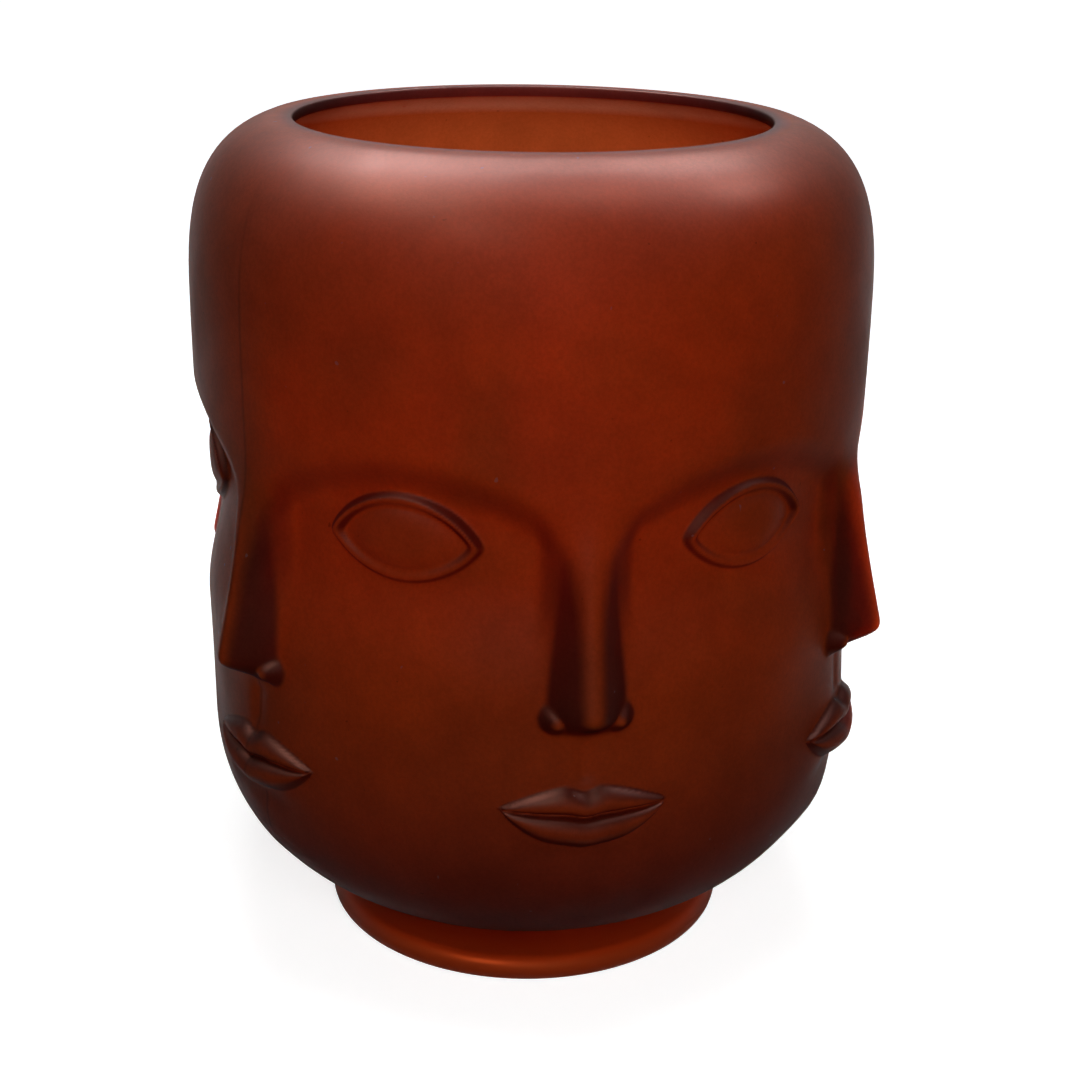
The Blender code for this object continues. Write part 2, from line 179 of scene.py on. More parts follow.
v, f = vessel, face
tiny = 1e-6
rimOuter = v["openingRadius"] + v["rimLand"]
bowlRadius = v["bodyRadius"] - v["bowlTaper"]
floorHeight = v["seatHeight"] + v["baseThickness"]
halfFace = math.pi * v["bodyRadius"] / f["count"]
third = (f["hairline"] - f["chin"]) / 3
browHeight = f["hairline"] - third
noseBase = browHeight - third
mouthHeight = noseBase - third / 3
tipHeight = noseBase + f["tipRise"]
rootHeight = browHeight - f["rootDrop"]
reliefBottom = f["chin"] + f["margin"]
reliefTop = browHeight + f["socketSoftness"]


def ease(t):
    t = np.clip(t, 0, 1)
    return t * t * (3 - 2 * t)


def hump(t):
    return np.clip(1 - t * t, 0, None) ** 2


def bell(t):
    return np.exp(-t * t)


def larger(a, b, softness):
    return (a + b + np.hypot(a - b, softness)) / 2


# a rounded corner of the profile: leaves the wall, passes through endRadius after drop

def cornerReach(wallRadius, centre, drop, endRadius, squareness):
    share = (endRadius - centre) / (wallRadius - centre)
    return drop / (1 - share ** squareness) ** (1 / squareness)


def cornerRadius(drop, wallRadius, centre, reach, squareness):
    share = np.clip(drop / reach, 0, 1)
    return centre + (wallRadius - centre) * (1 - share ** squareness) ** (1 / squareness)


def cornerDrops(start, end, reach, squareness, steps):
    first, last = (math.asin(min(max(d / reach, 0), 1) ** (squareness / 2)) for d in (start, end))
    turns = [first + (last - first) * i / steps for i in range(steps + 1)]
    return [reach * math.sin(a) ** (2 / squareness) for a in turns]


shoulderCentre = rimOuter - v["shoulderInset"]
shoulderRise = v["height"] - v["shoulderBottom"]
innerRise = shoulderRise - v["lipDepth"]
bowlDrop = v["bowlTop"] - v["seatHeight"]
innerDrop = v["bowlTop"] - floorHeight


def shoulderOf(radius, rise, end):
    n = v["shoulderSquareness"]
    return radius, shoulderCentre, cornerReach(radius, shoulderCentre, rise, end, n), n


def bowlOf(radius, drop, end):
    n = v["bowlSquareness"]
    return radius, 0.0, cornerReach(radius, 0.0, drop, end, n), n


shoulder = shoulderOf(v["bodyRadius"], shoulderRise, rimOuter)
innerShoulder = shoulderOf(v["bodyRadius"] - v["wall"], innerRise, v["openingRadius"])
bowl = bowlOf(bowlRadius, bowlDrop, v["neckRadius"])
innerBowl = bowlOf(bowlRadius - v["wall"], innerDrop, v["floorRadius"])


def wallRadius(z, low, high):
    up = cornerRadius(z - v["shoulderBottom"], *high)
    down = cornerRadius(v["bowlTop"] - z, *low)
    share = ease((z - v["bowlTop"]) / (v["shoulderBottom"] - v["bowlTop"]))
    middle = low[0] + (high[0] - low[0]) * share
    return np.where(z > v["shoulderBottom"], up, np.where(z < v["bowlTop"], down, middle))


# relief of a face: u runs along the wall from the nose line, z is the height

def socket(u, z):
    away = (halfFace - np.abs(u)) / halfFace
    brow = browHeight + f["browLift"] - f["browDrop"] * away ** 2
    underBrow = ease((brow + f["socketSoftness"] / 2 - z) / f["socketSoftness"])
    overCheek = ease((z - tipHeight) / f["cheekFade"])
    besideNose = ease((np.abs(u) - f["bridgeWidth"] / 4) / f["socketSide"])
    return -f["socketDepth"] * underBrow * overCheek * besideNose


def noseRidge(z):
    # the bridge and the underside meet in a rounded tip
    down = np.clip((rootHeight - z) / (rootHeight - tipHeight), 0, None)
    bridge = f["rootHeight"] + (f["tipHeight"] - f["rootHeight"]) * down ** f["bridgeHollow"]
    bridge = bridge * ease((rootHeight + f["rootFade"] / 2 - z) / f["rootFade"])
    underside = ease((z - noseBase + f["tipDroop"]) / f["undersideRise"])
    under = f["undersideFullness"] * f["tipHeight"] * underside
    return np.clip(bridge + under - larger(bridge, under, f["tipSoftness"]), 0, None)


def nose(u, z):
    widens = rootHeight - f["bridgeLength"]
    widening = ease((widens - z) / (widens - tipHeight))
    halfWidth = (f["bridgeWidth"] + (f["tipWidth"] - f["bridgeWidth"]) * widening) / 2
    aside = (np.abs(u) - f["wingSpread"] / 2) / (f["wingSize"] / 2)
    below = (z - noseBase - f["wingRise"]) / (f["wingSize"] / 2)
    wing = f["wingHeight"] * hump(np.hypot(aside, below))
    blend = f["wingHeight"] / 6
    return larger(noseRidge(z) * hump(u / halfWidth), wing, blend) - blend / 2


def eye(u, z):
    half = f["eyeWidth"] / 2
    upper = (half ** 2 + f["upperLidRise"] ** 2) / (2 * f["upperLidRise"])
    lower = (half ** 2 + f["lowerLidDrop"] ** 2) / (2 * f["lowerLidDrop"])
    x, y = halfFace - np.abs(u), z - f["eyeHeight"]
    pastUpper = np.hypot(x, y + upper - f["upperLidRise"]) - upper
    pastLower = np.hypot(x, y - lower + f["lowerLidDrop"]) - lower
    edge = larger(pastUpper, pastLower, f["lidWidth"] / 4)
    topShare = ease((pastUpper - pastLower) / f["lidBlend"] + 0.5)
    lid = f["lowerLidHeight"] + (f["upperLidHeight"] - f["lowerLidHeight"]) * topShare
    groove = f["lidWidth"] / 8
    within = np.clip(-pastUpper - groove, 0, None) * np.clip(-pastLower - groove, 0, None)
    inside = np.clip(within / (f["upperLidRise"] * f["lowerLidDrop"]), 0, 1)
    return lid * hump(2 * edge / f["lidWidth"]) + f["eyeballBulge"] * (1 - (1 - inside) ** 2)


def mouthLine(u):
    corner = (2 * u / f["mouthWidth"]) ** 2
    return mouthHeight + f["cornerLift"] * corner - f["bowDip"] / 2 * bell(u / f["bowWidth"])


def fullness(t):
    inside = (t > 0) & (t < 1)
    swell = np.sin(math.pi * np.clip(t, 0, 1) ** f["lipFullness"]).clip(0, 1) ** f["lipFullness"]
    return np.where(inside, swell, 0)


def mouth(u, z):
    share = np.clip(2 * np.abs(u) / f["mouthWidth"], 0, 1)
    upper = f["upperLip"] * (1 - share ** f["upperLipCurve"]) - f["bowDip"] * bell(u / f["bowWidth"])
    upper = np.clip(upper, 0, None) + tiny
    towardsEnd = np.clip(share / f["lowerLipEnd"], 0, 1) ** f["lowerLipCurve"]
    lower = f["lowerLip"] * (1 - towardsEnd) ** f["lowerLipFullness"] + tiny
    over = z - mouthLine(u)
    lips = f["upperLipHeight"] * fullness(over / upper) + f["lowerLipHeight"] * fullness(-over / lower)
    toCorner = np.clip(1 - (2 * u / f["mouthWidth"]) ** 2, 0, None) ** 0.5
    mound = bell(2 * u / f["mouthWidth"]) * bell((z - mouthHeight) / f["muzzleReach"])
    return lips * toCorner + f["muzzleHeight"] * mound


def chin(u, z):
    mound = bell(2 * u / f["chinWidth"]) * bell(2 * (z - f["chin"] - f["chinRise"]) / f["chinRise"])
    underLip = z - mouthHeight + f["lowerLip"] + f["lipHollowReach"]
    hollow = bell(2 * u / f["lipHollowWidth"]) * bell(underLip / f["lipHollowReach"])
    return f["chinHeight"] * mound - f["lipHollow"] * hollow


def philtrum(u, z):
    overLip = ease((z - mouthHeight - f["upperLip"] + f["bowDip"]) / f["philtrumFade"])
    underNose = ease((noseBase - z) / f["philtrumFade"])
    return -f["philtrumDepth"] * bell(2 * u / f["philtrumWidth"]) * overLip * underNose


def relief(u, z):
    whole = socket(u, z) + nose(u, z) + eye(u, z) + mouth(u, z) + chin(u, z) + philtrum(u, z)
    ends = ease((z - reliefBottom) / f["chinFade"]) * ease((reliefTop - z) / f["foreheadFade"])
    return whole * ends


def innerRelief(u, z):
    broad = v["innerFollow"] * socket(u, z) + v["innerNose"] * nose(u, z)
    return broad * ease((z - v["bowlTop"]) / f["cheekFade"])


def nothingSelected():
    for o in bpy.context.selected_objects:
        o.select_set(False)


def startRing(name, columns, radius, height):
    # a ring of edges, left open for extruding, in edit mode
    nothingSelected()
    bpy.ops.mesh.primitive_circle_add(vertices=columns, radius=radius, location=(0, 0, height))
    piece = bpy.context.object
    piece.name = name
    piece.data.name = name
    bpy.ops.object.transform_apply(location=True, rotation=True, scale=True)
    bpy.ops.object.mode_set(mode="EDIT")
    bpy.ops.mesh.select_mode(type="EDGE")
    bpy.ops.mesh.select_all(action="SELECT")
    return piece


def drawUp(outline):
    # extrudes the selected ring through each (radius, height)
    radius, height = outline[0]
    for nextRadius, nextHeight in outline[1:]:
        rise = {"value": (0, 0, nextHeight - height)}
        bpy.ops.mesh.extrude_edges_move(TRANSFORM_OT_translate=rise)
        k = nextRadius / radius
        bpy.ops.transform.resize(value=(k, k, 1), center_override=(0, 0, nextHeight))
        radius, height = nextRadius, nextHeight


def evenly(start, end, steps):
    return [start + (end - start) * i / steps for i in range(steps + 1)]


def arc(centreR, centreZ, size, first, last, steps):
    angles = [math.radians(a) for a in evenly(first, last, steps)]
    return [(centreR + size * math.cos(a), centreZ + size * math.sin(a)) for a in angles]


def shoulderHeight(radius):
    wall, centre, reach, n = shoulder
    return v["shoulderBottom"] + reach * (1 - ((radius - centre) / (wall - centre)) ** n) ** (1 / n)


def rolledOver(start, end, slope, steps):
    # a quadratic bend that leaves start along its slope and ends level
    (r0, z0), (r1, z1) = start, end
    corner = (r0 - (z1 - z0) / slope, z1)
    bend = []
    for t in evenly(0, 1, steps)[1:]:
        a, b, c = (1 - t) ** 2, 2 * t * (1 - t), t * t
        bend.append((a * r0 + b * corner[0] + c * r1, a * z0 + b * corner[1] + c * z1))
    return bend


def outerOutline():
    steps, soft = v["outerSteps"], v["landSoftness"]
    drops = cornerDrops(v["bowlTop"] - reliefBottom, bowlDrop, bowl[2], bowl[3], steps["bowl"])
    low = [(float(cornerRadius(d, *bowl)), v["bowlTop"] - d) for d in reversed(drops)]
    rows = evenly(reliefBottom, reliefTop, round((reliefTop - reliefBottom) / v["row"]))
    middle = [(float(wallRadius(z, bowl, shoulder)), z) for z in rows]
    # the shoulder rolls over into the land
    rollStart = shoulderHeight(rimOuter + soft)
    slope = v["landBend"] * (v["height"] - rollStart) / soft
    rises = cornerDrops(0, rollStart - v["shoulderBottom"], shoulder[2], shoulder[3], steps["shoulder"])
    high = [(float(cornerRadius(d, *shoulder)), v["shoulderBottom"] + d) for d in rises]
    land = rolledOver(high[-1], (rimOuter - soft, v["height"]), slope, steps["land"])
    return low + middle[1:] + high + land


def innerOutline():
    top, soft, steps = v["height"], v["rimSoftness"], v["innerSteps"]
    lip = [(v["openingRadius"] + 2 * soft, top)]
    lip += arc(v["openingRadius"] + soft, top - soft, soft, 90, 180, steps["rim"])
    rises = cornerDrops(0, innerRise, innerShoulder[2], innerShoulder[3], steps["shoulder"])
    high = [(float(cornerRadius(d, *innerShoulder)), v["shoulderBottom"] + d) for d in reversed(rises)]
    rows = evenly(v["shoulderBottom"], v["bowlTop"], steps["wall"])[1:]
    middle = [(float(wallRadius(z, innerBowl, innerShoulder)), z) for z in rows]
    drops = cornerDrops(0, innerDrop, innerBowl[2], innerBowl[3], steps["bowl"])
    low = [(float(cornerRadius(d, *innerBowl)), v["bowlTop"] - d) for d in drops[1:]]
    centre = [(v["floorRadius"] * s, floorHeight) for s in v["floorRings"]]
    return lip + high + middle + low + centre


def faceU(x, y):
    sector = 2 * math.pi / f["count"]
    angle = np.arctan2(x, -y)
    return ((angle + sector / 2) % sector - sector / 2) * v["bodyRadius"]


def selectFaces(piece, chosen):
    # faces of the outer wall whose middle (u, z) is chosen
    bpy.ops.mesh.select_mode(type="FACE")
    bm = bmesh.from_edit_mesh(piece.data)
    for part in bm.faces:
        x, y, z = part.calc_center_median()
        radius = math.hypot(x, y)
        outside = radius > wallRadius(z, bowl, shoulder) - v["wall"] / 2
        part.select_set(bool(outside and chosen(faceU(x, y), z)))
    bmesh.update_edit_mesh(piece.data)


# where the net is made finer: reach to the side, downwards and upwards from each feature
fineNet = {
    "nose": (0.0175, 0.0040, 1.0),      # halved once; up to the end of the relief
    "brow": (1.0, 0.0240, 0.0100),      # all round
    "eye": (0.0270, 0.0190, 0.0190),
    "mouth": (0.0300, 0.0190, 0.0190),
    "lids": (0.0255, 0.0135, 0.0160),   # halved again
    "lips": (0.0265, 0.0130, 0.0115),
    "noseTip": (0.0160, 0.0035, 0.0160),
    "mouthLine": (0.0250, 0.0018, 0.0018),      # a third time
}


def near(part, aside, above):
    side, down, up = fineNet[part]
    return aside < side and -down < above < up


def nearFeature(u, z):
    u = abs(u)
    nose = near("nose", u, z - noseBase) and z < reliefTop
    eyes = near("eye", halfFace - u, z - f["eyeHeight"])
    return nose or eyes or near("brow", u, z - browHeight) or near("mouth", u, z - mouthHeight)


def nearEdge(u, z):
    u = abs(u)
    lids = near("lids", halfFace - u, z - f["eyeHeight"])
    return lids or near("lips", u, z - mouthHeight) or near("noseTip", u, z - noseBase)


def nearMouthLine(u, z):
    return near("mouthLine", abs(u), z - mouthLine(u))


def storeValues(piece, name, values):
    stored = piece.data.attributes.new(name, "FLOAT", "POINT")
    stored.data.foreach_set("value", np.asarray(values, dtype=np.float32))


def carveFaces(piece):
    # moves each point of the outer and inner wall to its place in the relief
    places = np.empty(len(piece.data.vertices) * 3)
    piece.data.vertices.foreach_get("co", places)
    places = places.reshape(-1, 3)
    x, y, z = places.T
    radius = np.hypot(x, y)
    u = faceU(x, y)
    inRelief = (z > reliefBottom - tiny) & (z < reliefTop + tiny)
    outside = radius > wallRadius(z, bowl, shoulder) - v["wall"] / 2
    outer = wallRadius(z, bowl, shoulder) + relief(u, z)
    inner = wallRadius(z, innerBowl, innerShoulder) + innerRelief(u, z)
    innerWall = ~outside & (z > v["bowlTop"]) & (z < v["shoulderBottom"])
    lip = z > v["height"] - v["lipDepth"] - tiny
    groundEnd = v["openingRadius"] + v["groundWidth"] + v["landFade"] / 2
    step = v["slopeStep"]
    sideways = relief(u + step, z) - relief(u - step, z)
    upwards = relief(u, z + step) - relief(u, z - step)
    steepness = np.hypot(sideways, upwards) / (2 * step)
    # values that the material reads
    # steepness drives the painted shade on the relief's slopes
    storeValues(piece, "steepness", np.where(inRelief & outside, steepness, 0))
    storeValues(piece, "inside", ~outside & ~lip)
    storeValues(piece, "ground", np.where(lip, ease((groundEnd - radius) / v["landFade"]), 0))
    new = np.where(inRelief & outside, outer, np.where(innerWall, inner, radius))
    places[:, :2] *= (new / np.maximum(radius, tiny))[:, None]
    piece.data.vertices.foreach_set("co", places.ravel())
    piece.data.update()


def turnedPiece(name, columns, outline):
    # extruded ring by ring, with both ends closed; it stays in edit mode
    piece = startRing(name, columns, *outline[0])
    drawUp(outline)
    bpy.ops.mesh.edge_face_add()
    bpy.ops.mesh.select_all(action="DESELECT")
    bpy.ops.mesh.select_non_manifold()
    bpy.ops.mesh.edge_face_add()
    bpy.ops.mesh.select_all(action="SELECT")
    bpy.ops.mesh.normals_make_consistent(inside=False)
    return piece


def makeVessel():
    piece = turnedPiece("planter_vessel", v["columns"], outerOutline() + innerOutline())
    for chosen in (nearFeature, nearEdge, nearMouthLine):
        selectFaces(piece, chosen)
        bpy.ops.mesh.subdivide(number_cuts=1)
    bpy.ops.object.mode_set(mode="OBJECT")
    carveFaces(piece)
    bpy.ops.object.shade_smooth()
    return piece


vesselPiece = makeVessel()
print("vessel carved:", len(vesselPiece.data.vertices), "points",
      sum(len(p.vertices) - 2 for p in vesselPiece.data.polygons), "triangles")


foot = {
    "radius": 0.0628,
    "edge": 0.0080,
    "round": 0.0039,
    "height": 0.0132,
    "restWidth": 0.0150,
    "hollow": 0.0025,
    "hollowSoftness": 0.0004,
    "columns": 240,
    "edgeSteps": 8,          # in each quarter of the rounded edge
    "coveSteps": 14,
    "underRings": (0.1, 0.4, 0.7),
    "topRings": (0.97, 0.6, 0.2),
}


def footOutline():
    # from the middle of the underside out, round the edge and up the cove to the neck
    size, top, edge, steps = foot["round"], foot["height"], foot["edge"], foot["edgeSteps"]
    rest = foot["radius"] - size
    hollow, deep, soft = rest - foot["restWidth"], foot["hollow"], foot["hollowSoftness"]
    outline = [(hollow * s, deep) for s in foot["underRings"]]
    outline += [(hollow - deep - soft, deep), (hollow - deep + soft, deep - soft)]
    outline += [(hollow - soft, soft), (hollow + soft, 0)]
    outline += arc(rest, size, size, -90, 0, steps)
    outline += arc(rest, edge - size, size, 0, 90, steps)
    reach, rise = rest - v["neckRadius"], top - edge
    outline += [(rest - reach * math.sin(a), edge + rise * (1 - math.cos(a)))
                for a in evenly(0, math.pi / 2, foot["coveSteps"])[1:]]
    outline += [(v["neckRadius"] * s, top) for s in foot["topRings"]]
    return outline


def makeFoot():
    piece = turnedPiece("planter_foot", foot["columns"], footOutline())
    bpy.ops.object.mode_set(mode="OBJECT")
    bpy.ops.object.shade_smooth()
    return piece


footPiece = makeFoot()
print("foot turned")


# amber glass, etched matt outside and left smoother inside
amber = {
    "tint": (0.89, 0.101, 0.012, 1),         # what the etched surface keeps
    "paintedBowlShade": (0.34, 0.036, 0.021, 1),      # painted shade, darker down in the bowl
    "paintedBowlShadeHeights": (0.030, 0.110),
    "insideTint": (0.53, 0.26, 0.080, 1),
    "paintedRimSheen": (0.80, 1.0, 0.85, 1),    # painted sheen, a pale band on the inner wall just below the rim
    "paintedRimSheenHeights": (0.2395, 0.2430),
    "paintedSlopeShade": (0.24, 0.020, 0.006, 1),    # painted shade on the relief's steep slopes
    "steep": (0.22, 1.2),
    "groundTint": (0.25, 0.085, 0.085, 1),   # ground land of the rim
    "cloud": (21.0, 3.0, 0.5),               # noise: scale, detail, roughness
    "cloudLevels": (0.86, 1.06),
    "fleck": (78.0, 4.0, 0.6),
    "fleckLevels": (0.84, 1.0),
    "grit": (900.0, 2.0, 0.8),
    "gritLevels": (0.91, 1.09),
    "speck": (430.0, 0.0, 0.5),              # dust in the etching
    "speckPeaks": (0.86, 0.89),
    "speckShare": 0.5,
    "speckTint": (0.62, 0.34, 0.26, 1),
    "pit": (560.0, 0.0, 0.5),
    "pitPeaks": (0.86, 0.90),
    "pitDark": 0.4,
    "seamTurn": -60.0,                       # degrees from the front face; the other is opposite
    "seamWidth": 0.0011,
    "seamFade": (0.205, 0.243),              # heights over which it is worn off the shoulder
    "seamLeft": 0.1,
    "seamDark": 0.35,
    "seamRise": 0.10,
    "roughness": 0.46,
    "insideRoughness": 0.42,
    "cloudRoughness": (1.12, 0.90),
    "ripple": (32.0, 2.0, 0.5),
    "tooth": (1400.0, 1.0, 0.5),             # the etching's finest relief
    "toothRise": 0.06,
    "bump": (0.35, 0.0012),                  # strength, distance
    "transmission": 0.91,
    "index": 1.06,
    "absorbed": (0.46, 0.05, 0.0, 1),
    "density": 250.0,
}

# the foot's glass, less etched, with painted shade near the neck and a painted glow along its rounded
# edge
footAmber = {
    "tint": (0.54, 0.042, 0.005, 1),         # painted glow along the top of the rounded edge
    "dark": (0.22, 0.009, 0.001, 1),         # painted shade near the neck, under the bowl
    "widening": (0.0490, 0.0594),            # radii between which dark goes over into tint
    "wideningShare": 0.8,
    "belowPaintedGlow": (0.33, 0.033, 0.006, 1),     # dimmer down the edge, below the painted glow
    "edge": (0.0605, 0.0627),
    "cloud": (24.0, 3.0, 0.5),
    "cloudShare": 0.2,
    "smear": (60.0, 4.0, 0.5),
    "roughness": (0.3995, 0.5405),
    "ripple": (45.0, 2.0, 0.5),
    "bump": (0.3, 0.0005),
    "transmission": 0.66,
    "index": 1.20,
    "gloss": 1.0,
    "glossTint": (1.0, 0.22, 0.06, 1),
    "absorbed": (0.20, 0.0, 0.0, 1),
    "density": 700.0,
}

noiseSpread = (0.3, 0.7)     # most of a noise lies between these


def addNode(tree, kind, inputs, **settings):
    made = tree.nodes.new("ShaderNode" + kind)
    for name, value in settings.items():
        setattr(made, name, value)
    for name, value in inputs.items():
        if isinstance(value, bpy.types.NodeSocket):
            tree.links.new(value, made.inputs[name])
        else:
            made.inputs[name].default_value = value
    return made


def maths(tree, operation, *values):
    return addNode(tree, "Math", dict(enumerate(values)), operation=operation).outputs[0]


def ranged(tree, value, low, high, toLow=0.0, toHigh=1.0):
    limits = {"Value": value, "From Min": low, "From Max": high, "To Min": toLow, "To Max": toHigh}
    return addNode(tree, "MapRange", limits, interpolation_type="SMOOTHSTEP").outputs["Result"]


def blended(tree, share, first, second):
    return addNode(tree, "Mix", {0: share, 6: first, 7: second}, data_type="RGBA").outputs[2]


def scaled(tree, colour, factor):
    return addNode(tree, "VectorMath", {0: colour, "Scale": factor}, operation="SCALE").outputs[0]


def product(tree, *values):
    whole = values[0]
    for value in values[1:]:
        whole = maths(tree, "MULTIPLY", whole, value)
    return whole


def noise(tree, coords, kind):
    scale, detail, roughness = kind
    inputs = {"Vector": coords, "Scale": scale, "Detail": detail, "Roughness": roughness}
    return addNode(tree, "TexNoise", inputs).outputs["Fac"]


def bumped(tree, shader, relief, strength, distance):
    bump = addNode(tree, "Bump", {"Height": relief, "Strength": strength, "Distance": distance})
    tree.links.new(bump.outputs["Normal"], shader.inputs["Normal"])


def stored(tree, name):
    return addNode(tree, "Attribute", {}, attribute_name=name).outputs["Fac"]


def newGlass(name, g):
    material = bpy.data.materials.new(name)
    material.use_nodes = True
    tree = material.node_tree
    shader = tree.nodes["Principled BSDF"]
    shader.inputs["Transmission Weight"].default_value = g["transmission"]
    shader.inputs["IOR"].default_value = g["index"]
    absorbing = {"Color": g["absorbed"], "Density": g["density"]}
    inside = addNode(tree, "VolumeAbsorption", absorbing)
    tree.links.new(inside.outputs["Volume"], tree.nodes["Material Output"].inputs["Volume"])
    coords = addNode(tree, "TexCoord", {}).outputs["Object"]
    return material, tree, shader, coords


def makeFrostedGlass(g):
    material, tree, shader, coords = newGlass("frostedGlass", g)
    inside, ground = stored(tree, "inside"), stored(tree, "ground")
    outside = maths(tree, "SUBTRACT", 1.0, inside)
    height = addNode(tree, "SeparateXYZ", {0: coords}).outputs["Z"]

    # soft clouds and fine flecks in the etching
    cloud = ranged(tree, noise(tree, coords, g["cloud"]), *noiseSpread, *g["cloudLevels"])
    fleck = ranged(tree, noise(tree, coords, g["fleck"]), *noiseSpread, *g["fleckLevels"])
    grit = ranged(tree, noise(tree, coords, g["grit"]), *noiseSpread, *g["gritLevels"])
    speck = ranged(tree, noise(tree, coords, g["speck"]), *g["speckPeaks"], 0.0, g["speckShare"])
    pit = ranged(tree, noise(tree, coords, g["pit"]), *g["pitPeaks"])

    # mould seam: a plane through the axis
    turn = math.radians(g["seamTurn"])
    across = (math.cos(turn), math.sin(turn), 0)
    aside = addNode(tree, "VectorMath", {0: coords, 1: across}, operation="DOT_PRODUCT").outputs["Value"]
    seam = ranged(tree, maths(tree, "ABSOLUTE", aside), 0.0, g["seamWidth"], 1.0, 0.0)
    seam = product(tree, seam, outside, ranged(tree, height, *g["seamFade"], 1.0, g["seamLeft"]))

    # colour: the inside and the ground land have their own; painted shade darkens the bowl and the steep
    # slopes, and a painted sheen lightens the inside just below the rim
    # painted shade: the colour darkens down in the bowl
    low = ranged(tree, height, *g["paintedBowlShadeHeights"], 1.0, 0.0)
    # painted sheen: the inner wall is paler just below the rim
    inner = blended(tree, ranged(tree, height, *g["paintedRimSheenHeights"]), g["insideTint"], g["paintedRimSheen"])
    tint = blended(tree, inside, blended(tree, low, g["tint"], g["paintedBowlShade"]), inner)
    # painted shade: steep slopes of the relief are darkened
    tint = blended(tree, ranged(tree, stored(tree, "steepness"), *g["steep"]), tint, g["paintedSlopeShade"])
    tint = blended(tree, ground, tint, g["groundTint"])
    tint = blended(tree, speck, tint, g["speckTint"])
    dark = maths(tree, "MAXIMUM", product(tree, seam, g["seamDark"]), product(tree, pit, g["pitDark"]))
    shade = product(tree, cloud, fleck, grit, maths(tree, "SUBTRACT", 1.0, dark))
    tree.links.new(scaled(tree, tint, shade), shader.inputs["Base Color"])

    rough = maths(tree, "MULTIPLY_ADD", inside, g["insideRoughness"] - g["roughness"], g["roughness"])
    rough = product(tree, rough, ranged(tree, cloud, *g["cloudLevels"], *g["cloudRoughness"]))
    tree.links.new(rough, shader.inputs["Roughness"])

    relief = maths(tree, "MULTIPLY_ADD", noise(tree, coords, g["tooth"]), g["toothRise"],
                   noise(tree, coords, g["ripple"]))
    relief = maths(tree, "MULTIPLY_ADD", seam, g["seamRise"], relief)
    bumped(tree, shader, relief, *g["bump"])
    return material


def makeFootGlass(g):
    material, tree, shader, coords = newGlass("footGlass", g)
    cloud = ranged(tree, noise(tree, coords, g["cloud"]), *noiseSpread)
    level = addNode(tree, "VectorMath", {0: coords, 1: (1, 1, 0)}, operation="MULTIPLY").outputs[0]
    radius = addNode(tree, "VectorMath", {0: level}, operation="LENGTH").outputs["Value"]
    # painted shade near the neck goes over into a painted glow along the edge, which dims down the edge
    outer = ranged(tree, radius, *g["widening"], 0.0, g["wideningShare"])
    outer = maths(tree, "MULTIPLY_ADD", cloud, g["cloudShare"], outer)
    tint = blended(tree, outer, g["dark"], g["tint"])
    tint = blended(tree, ranged(tree, radius, *g["edge"]), tint, g["belowPaintedGlow"])
    tree.links.new(tint, shader.inputs["Base Color"])
    shader.inputs["Specular IOR Level"].default_value = g["gloss"]
    shader.inputs["Specular Tint"].default_value = g["glossTint"]
    rough = ranged(tree, noise(tree, coords, g["smear"]), *noiseSpread, *g["roughness"])
    tree.links.new(rough, shader.inputs["Roughness"])
    bumped(tree, shader, noise(tree, coords, g["ripple"]), *g["bump"])
    return material


vesselPiece.data.materials.append(makeFrostedGlass(amber))
footPiece.data.materials.append(makeFootGlass(footAmber))

for piece, node, slot in ((vesselPiece, "glass_vessel", "frosted_glass"),
                          (footPiece, "glass_foot", "foot_glass")):
    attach(piece, "root")
    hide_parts(node)
print("glass finished")


# floor and studio light
studio = {
    "floorSize": 16.0,
    "floorGap": 0.0002,      # keeps the floor clear of the foot's underside
    "floorColour": 0.62,     # as seen
    "floorBounce": 0.30,     # as it lights the glass
    # painted shade: the floor glows less near the planter
    "paintedShadeGlow": 0.70,
    "glowReach": (0.10, 0.40),      # distances from the axis over which the floor's painted shade round the planter goes over to white
    "paintedUnderShade": 0.08,              # painted shade under the planter, in the floor as the glass sees it
    "paintedUnderShadeReach": (0.06, 0.34),
    "ambient": 0.10,
}

# each lamp: size, power, colour, place, target
lamps = {
    "overhead": ((0.5, 0.5), 6.0, (1.0, 1.0, 1.0), (0, -0.05, 1.1), (0, 0, 0.12)),
    "key": ((0.7, 0.7), 14.5, (1.0, 1.0, 1.0), (-0.06, -1.16, 0.50), (0, 0, 0.12)),
}

# lamps that only the gloss sees, for the sheen along the shoulder and on the foot
glossLamps = {
    "backLeft": ((0.6, 0.4), 365.0, (1.0, 0.64, 0.60), (-0.27, 0.50, 1.25), (0, 0, 0.25)),
    "backRight": ((0.6, 0.4), 150.0, (1.0, 0.66, 0.62), (0.46, 0.55, 1.25), (0, 0, 0.25)),
    "frontLeft": ((0.6, 0.4), 500.0, (1.0, 0.41, 0.30), (-0.60, -0.06, 1.25), (0, 0, 0.25)),
    "frontMiddle": ((0.5, 0.4), 160.0, (1.0, 0.46, 0.36), (0.16, -0.25, 1.25), (0, 0, 0.25)),
    "frontRight": ((0.6, 0.4), 240.0, (1.0, 0.49, 0.42), (0.86, -0.02, 1.25), (0, 0, 0.25)),
    "footSheen": ((0.25, 0.25), 68.0, (1.0, 0.60, 0.45), (-0.42, -0.72, 0.86), (0, 0, 0.01)),
}


def whereSeen(tree):
    # 1 on the rays that see the background, straight or in glass
    paths = addNode(tree, "LightPath", {})
    seen = maths(tree, "MAXIMUM", paths.outputs["Is Camera Ray"], paths.outputs["Is Transmission Ray"])
    return maths(tree, "MAXIMUM", seen, paths.outputs["Is Glossy Ray"])


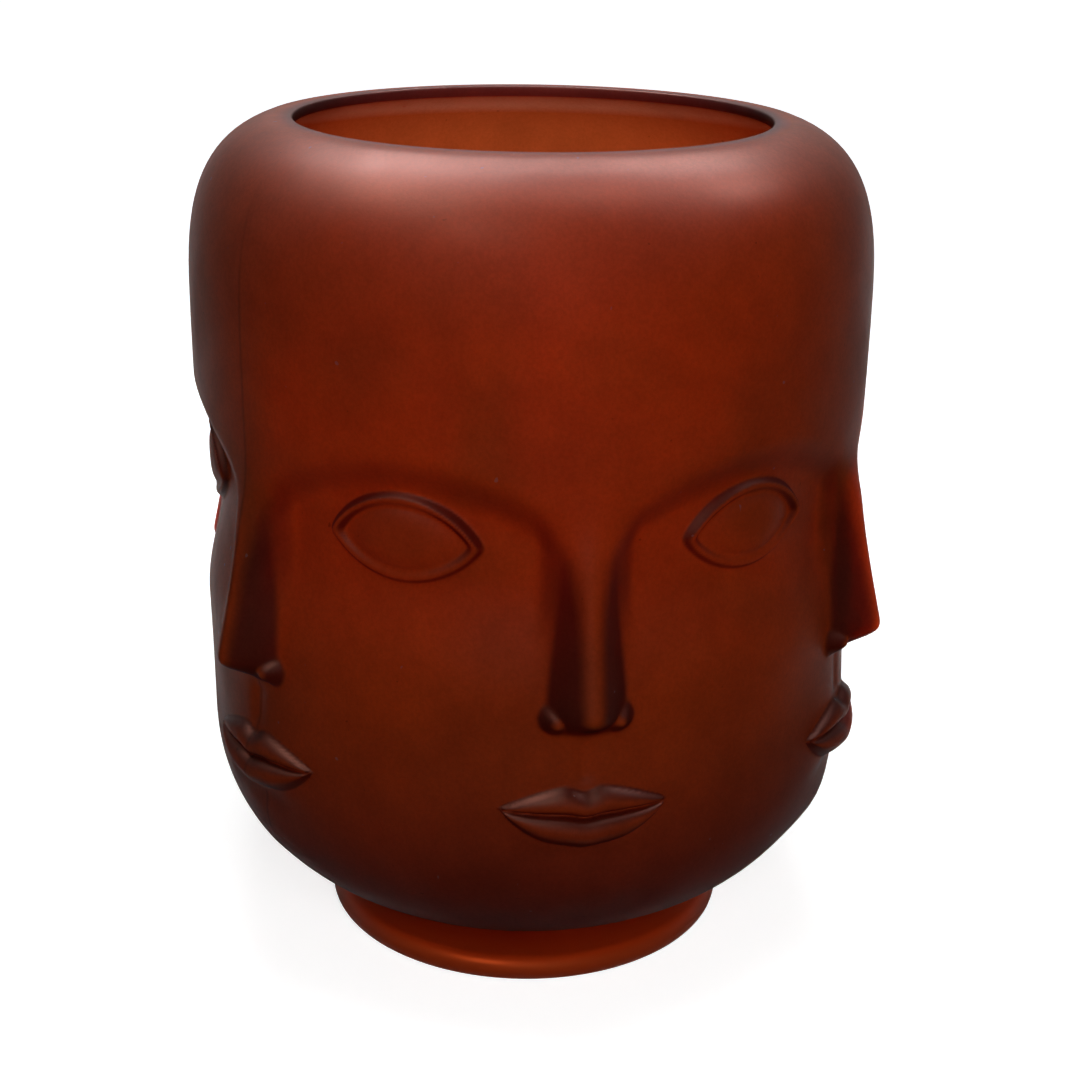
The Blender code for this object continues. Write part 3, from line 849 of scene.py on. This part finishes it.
def makeFloor(s):
    nothingSelected()
    bpy.ops.mesh.primitive_plane_add(size=s["floorSize"], location=(0, 0, -s["floorGap"]))
    floor = bpy.context.object
    floor.name = "floor"
    bpy.ops.object.transform_apply(location=True, rotation=True, scale=True)
    material = bpy.data.materials.new("paleFloor")
    material.use_nodes = True
    tree = material.node_tree
    tree.nodes.remove(tree.nodes["Principled BSDF"])
    seen = whereSeen(tree)
    straight = addNode(tree, "LightPath", {}).outputs["Is Camera Ray"]
    coords = addNode(tree, "TexCoord", {}).outputs["Object"]
    away = addNode(tree, "VectorMath", {0: coords}, operation="LENGTH").outputs["Value"]
    # painted shade round the planter: the floor's glow is lower near the axis, most of all in the glass
    direct = ranged(tree, away, *s["glowReach"], s["paintedShadeGlow"], 1.0)
    paintedShadeInGlass = ranged(tree, away, *s["paintedUnderShadeReach"], s["paintedUnderShade"], 1.0)
    glow = addNode(tree, "Mix", {0: straight, 2: paintedShadeInGlass, 3: direct}).outputs[0]
    glow = maths(tree, "MULTIPLY", seen, glow)
    light = addNode(tree, "Emission", {"Strength": glow})
    grey = [(s[k], s[k], s[k], 1) for k in ("floorBounce", "floorColour")]
    matt = addNode(tree, "BsdfDiffuse", {"Color": blended(tree, seen, *grey)})
    both = addNode(tree, "AddShader", {0: light.outputs[0], 1: matt.outputs[0]})
    tree.links.new(both.outputs[0], tree.nodes["Material Output"].inputs["Surface"])
    floor.data.materials.append(material)


def softLamp(name, size, power, colour, place, target):
    data = bpy.data.lights.new(name, "AREA")
    data.shape = "RECTANGLE"
    data.size, data.size_y = size
    data.energy = power
    data.color = colour
    lamp = bpy.data.objects.new(name, data)
    scene.collection.objects.link(lamp)
    way = Vector(target) - Vector(place)
    turn = way.to_track_quat("-Z", "Y").to_matrix().to_4x4()
    lamp.matrix_world = Matrix.Translation(place) @ turn
    return lamp


def glossOnly(lamp):
    lamp.data.cycles.max_bounces = 0
    lamp.visible_diffuse = False
    lamp.visible_transmission = False


def makeWorld(s):
    world = bpy.data.worlds.new("studio")
    scene.world = world
    world.use_nodes = True
    tree = world.node_tree
    background = tree.nodes["Background"]
    background.inputs["Color"].default_value = (1, 1, 1, 1)
    strength = addNode(tree, "Mix", {0: whereSeen(tree), 2: s["ambient"], 3: 1.0})
    tree.links.new(strength.outputs[0], background.inputs["Strength"])


makeFloor(studio)
makeWorld(studio)
for name, lamp in lamps.items():
    softLamp(name, *lamp)
for name, lamp in glossLamps.items():
    glossOnly(softLamp(name, *lamp))
print("studio lit")
